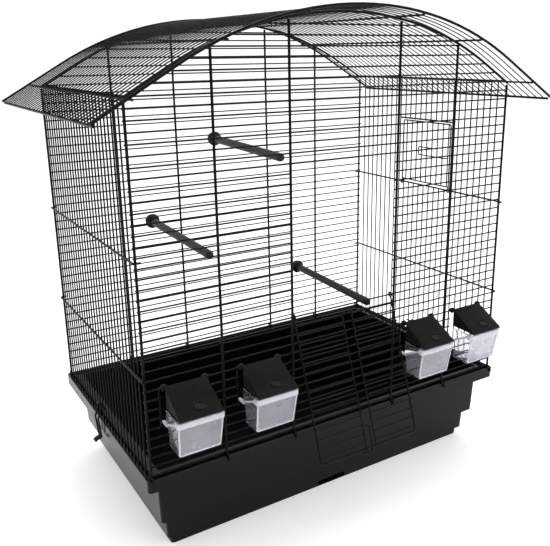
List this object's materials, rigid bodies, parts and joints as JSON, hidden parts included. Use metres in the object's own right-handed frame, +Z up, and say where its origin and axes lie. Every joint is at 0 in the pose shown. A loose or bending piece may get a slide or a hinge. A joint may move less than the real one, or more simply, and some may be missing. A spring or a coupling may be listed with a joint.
{
  "type": "bird cage",
  "caption": "Wire bird cage with an arched overhanging roof on a deep stepped tray, with front and nest doors, perches and hooded feeder cups.",
  "frame": {"origin": "centre of the tray's flat underside", "axes": "+X to the cage's right seen from the front, -Y out of the front, +Z up"},
  "size_m": [0.5964, 0.4068, 0.5998],
  "materials": {
    "black_wire": "semi-gloss black enamel on steel wire",
    "tray_plastic": "glossy moulded black plastic",
    "hood_plastic": "satin charcoal plastic",
    "perch_plastic": "satin black plastic",
    "clear_plastic": "clear plastic with brighter edges"
  },
  "bodies": {
    "base": {"base_tray": "tray_plastic"},
    "front_door": {"door_frame": "black_wire", "door_middle_wires": "black_wire", "door_crossbars": "black_wire"},
    "catch": {"door_latch": "black_wire"},
    "nest_door": {"nest_door_frame": "black_wire", "nest_door_bars": "black_wire", "nest_door_handle": "black_wire"},
    "clip_left": {"left_clip": "black_wire"},
    "clip_right": {"right_clip": "black_wire"},
    "hood_1": {"feeder_1_hood": "hood_plastic"},
    "cup_1": {"feeder_1_cup": "clear_plastic"},
    "hood_2": {"feeder_2_hood": "hood_plastic"},
    "cup_2": {"feeder_2_cup": "clear_plastic"},
    "hood_3": {"feeder_3_hood": "hood_plastic"},
    "cup_3": {"feeder_3_cup": "clear_plastic"},
    "hood_4": {"feeder_4_hood": "hood_plastic"},
    "cup_4": {"feeder_4_cup": "clear_plastic"},
    "cage": {"back_foot_wire": "black_wire", "back_wall_arch": "black_wire", "back_wall_bars": "black_wire", "back_wall_posts": "black_wire", "eave_wires": "black_wire", "feeder_opening_frames": "black_wire", "front_foot_wire": "black_wire", "front_wall_arch": "black_wire", "front_wall_bars": "black_wire", "front_wall_posts": "black_wire", "left_braces": "black_wire", "left_clip_pivot": "black_wire", "left_frame_wires": "black_wire", "left_wall_bars": "black_wire", "nest_opening_wire": "black_wire", "perch_1": "perch_plastic", "perch_1_nut": "perch_plastic", "perch_2": "perch_plastic", "perch_2_nut": "perch_plastic", "perch_3": "perch_plastic", "perch_3_nut": "perch_plastic", "right_braces": "black_wire", "right_clip_pivot": "black_wire", "right_frame_wires": "black_wire", "right_wall_bars": "black_wire", "rim_hooks": "black_wire", "roof_bars": "black_wire", "roof_edge_wires": "black_wire", "roof_stays": "black_wire"}
  },
  "joints": [
    {"name": "cage_lift", "type": "slide", "parent": "base", "child": "cage", "axis": [0, 0, 1], "range_m": [0, 0.12]},
    {"name": "front_door_hinge", "type": "hinge", "parent": "cage", "child": "front_door", "pos_m": [0, -0.15357, 0.25743], "axis": [-1, 0, 0], "range_deg": [0, 161]},
    {"name": "door_catch_slide", "type": "slide", "parent": "front_door", "child": "catch", "axis": [0, 0.3256, 0.9455], "range_m": [0, 0.008]},
    {"name": "nest_door_hinge", "type": "hinge", "parent": "cage", "child": "nest_door", "pos_m": [0.25773, -0.00565, 0.354], "axis": [0, 1, 0], "range_deg": [0, 110]},
    {"name": "left_clip_swing", "type": "hinge", "parent": "cage", "child": "clip_left", "pos_m": [-0.25773, 0.00565, 0.1262], "axis": [0, 1, 0], "range_deg": [0, 140]},
    {"name": "right_clip_swing", "type": "hinge", "parent": "cage", "child": "clip_right", "pos_m": [0.25773, 0.00565, 0.1262], "axis": [0, -1, 0], "range_deg": [0, 140]},
    {"name": "hood_1_hinge", "type": "hinge", "parent": "cage", "child": "hood_1", "pos_m": [-0.21, -0.15357, 0.21299], "axis": [-1, 0, 0], "range_deg": [0, 85]},
    {"name": "cup_1_slide", "type": "slide", "parent": "cage", "child": "cup_1", "axis": [0, -1, 0], "range_m": [0, 0.035]},
    {"name": "hood_2_hinge", "type": "hinge", "parent": "cage", "child": "hood_2", "pos_m": [-0.118, -0.15357, 0.21299], "axis": [-1, 0, 0], "range_deg": [0, 85]},
    {"name": "cup_2_slide", "type": "slide", "parent": "cage", "child": "cup_2", "axis": [0, -1, 0], "range_m": [0, 0.035]},
    {"name": "hood_3_hinge", "type": "hinge", "parent": "cage", "child": "hood_3", "pos_m": [0.1195, -0.15357, 0.21299], "axis": [-1, 0, 0], "range_deg": [0, 85]},
    {"name": "cup_3_slide", "type": "slide", "parent": "cage", "child": "cup_3", "axis": [0, -1, 0], "range_m": [0, 0.035]},
    {"name": "hood_4_hinge", "type": "hinge", "parent": "cage", "child": "hood_4", "pos_m": [0.205, -0.15357, 0.21299], "axis": [-1, 0, 0], "range_deg": [0, 85]},
    {"name": "cup_4_slide", "type": "slide", "parent": "cage", "child": "cup_4", "axis": [0, -1, 0], "range_m": [0, 0.035]}
  ]
}
